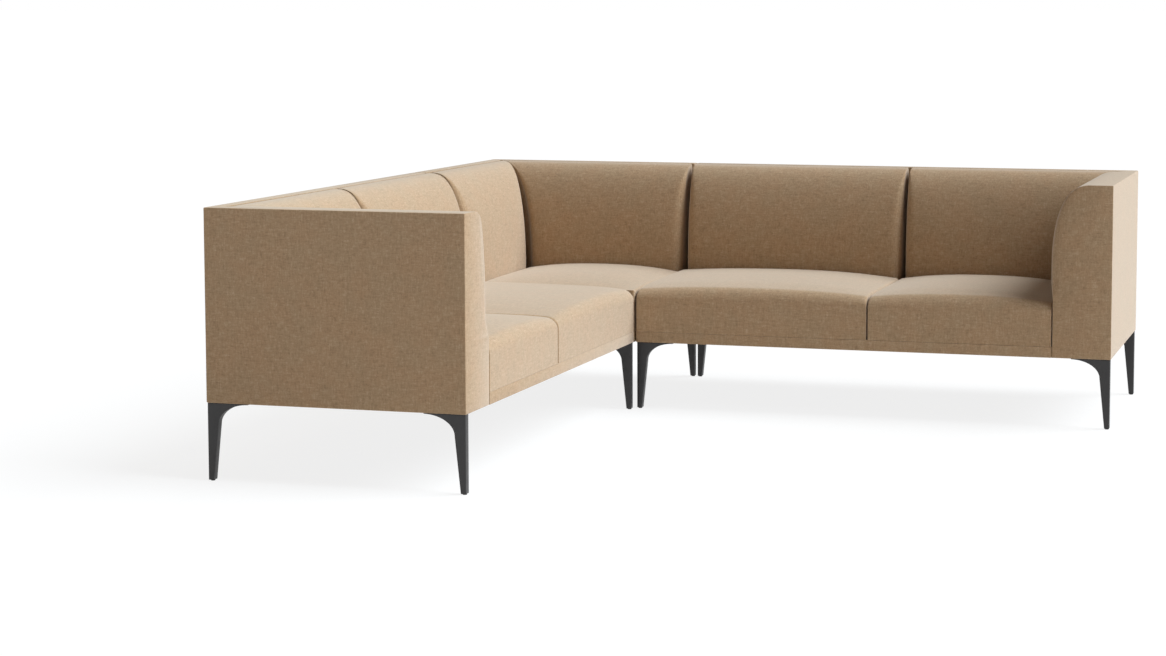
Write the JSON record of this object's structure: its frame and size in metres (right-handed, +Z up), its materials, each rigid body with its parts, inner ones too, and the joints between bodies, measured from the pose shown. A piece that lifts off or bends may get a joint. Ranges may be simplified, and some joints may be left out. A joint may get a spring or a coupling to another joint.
{
  "type": "corner sofa",
  "caption": "Low corner sofa of ganged upholstered units on slim flared metal legs, with level arms and back, swelling pads and crowned seats.",
  "frame": {"origin": "on the floor, under the middle of the square that the sofa fits in", "axes": "+Z up; the right wing runs along +X at the back, the left wing along -Y on the left, so the open side faces +X and -Y"},
  "size_m": [2.247, 2.247, 0.74],
  "materials": {
    "upholstery": "matt woven wool mixture, camel melange",
    "plywood": "plain birch plywood",
    "bottom_cloth": "black non-woven cloth",
    "leg_paint": "black satin paint",
    "glide_nylon": "black nylon",
    "zinc_steel": "zinc-plated steel"
  },
  "bodies": {
    "root": {"corner_unit_back_board_left": "plywood", "corner_unit_back_board_right": "plywood", "corner_unit_back_pad_left": "upholstery", "corner_unit_back_pad_right": "upholstery", "corner_unit_back_shell_left": "upholstery", "corner_unit_back_shell_right": "upholstery", "corner_unit_base_board": "plywood", "corner_unit_bottom_cloth": "bottom_cloth", "corner_unit_left_glide": "glide_nylon", "corner_unit_left_leg": "leg_paint", "corner_unit_middle_glide": "glide_nylon", "corner_unit_middle_leg": "leg_paint", "corner_unit_right_glide": "glide_nylon", "corner_unit_right_leg": "leg_paint", "corner_unit_seat": "upholstery", "left_link_bolt_corner": "zinc_steel", "left_link_bolt_unit": "zinc_steel", "left_unit_arm": "upholstery", "left_unit_arm_board": "plywood", "left_unit_arm_front_glide": "glide_nylon", "left_unit_arm_front_leg": "leg_paint", "left_unit_arm_rear_glide": "glide_nylon", "left_unit_arm_rear_leg": "leg_paint", "left_unit_back_board": "plywood", "left_unit_back_pad_narrow": "upholstery", "left_unit_back_pad_wide": "upholstery", "left_unit_back_shell": "upholstery", "left_unit_base_board": "plywood", "left_unit_bottom_cloth": "bottom_cloth", "left_unit_front_rail_cover": "upholstery", "left_unit_joint_front_glide": "glide_nylon", "left_unit_joint_front_leg": "leg_paint", "left_unit_joint_rear_glide": "glide_nylon", "left_unit_joint_rear_leg": "leg_paint", "left_unit_link_plate": "zinc_steel", "left_unit_seat_narrow": "upholstery", "left_unit_seat_wide": "upholstery", "right_link_bolt_corner": "zinc_steel", "right_link_bolt_unit": "zinc_steel", "right_unit_arm": "upholstery", "right_unit_arm_board": "plywood", "right_unit_arm_front_glide": "glide_nylon", "right_unit_arm_front_leg": "leg_paint", "right_unit_arm_rear_glide": "glide_nylon", "right_unit_arm_rear_leg": "leg_paint", "right_unit_back_board": "plywood", "right_unit_back_pad_narrow": "upholstery", "right_unit_back_pad_wide": "upholstery", "right_unit_back_shell": "upholstery", "right_unit_base_board": "plywood", "right_unit_bottom_cloth": "bottom_cloth", "right_unit_front_rail_cover": "upholstery", "right_unit_joint_front_glide": "glide_nylon", "right_unit_joint_front_leg": "leg_paint", "right_unit_joint_rear_glide": "glide_nylon", "right_unit_joint_rear_leg": "leg_paint", "right_unit_link_plate": "zinc_steel", "right_unit_seat_narrow": "upholstery", "right_unit_seat_wide": "upholstery"}
  },
  "joints": []
}
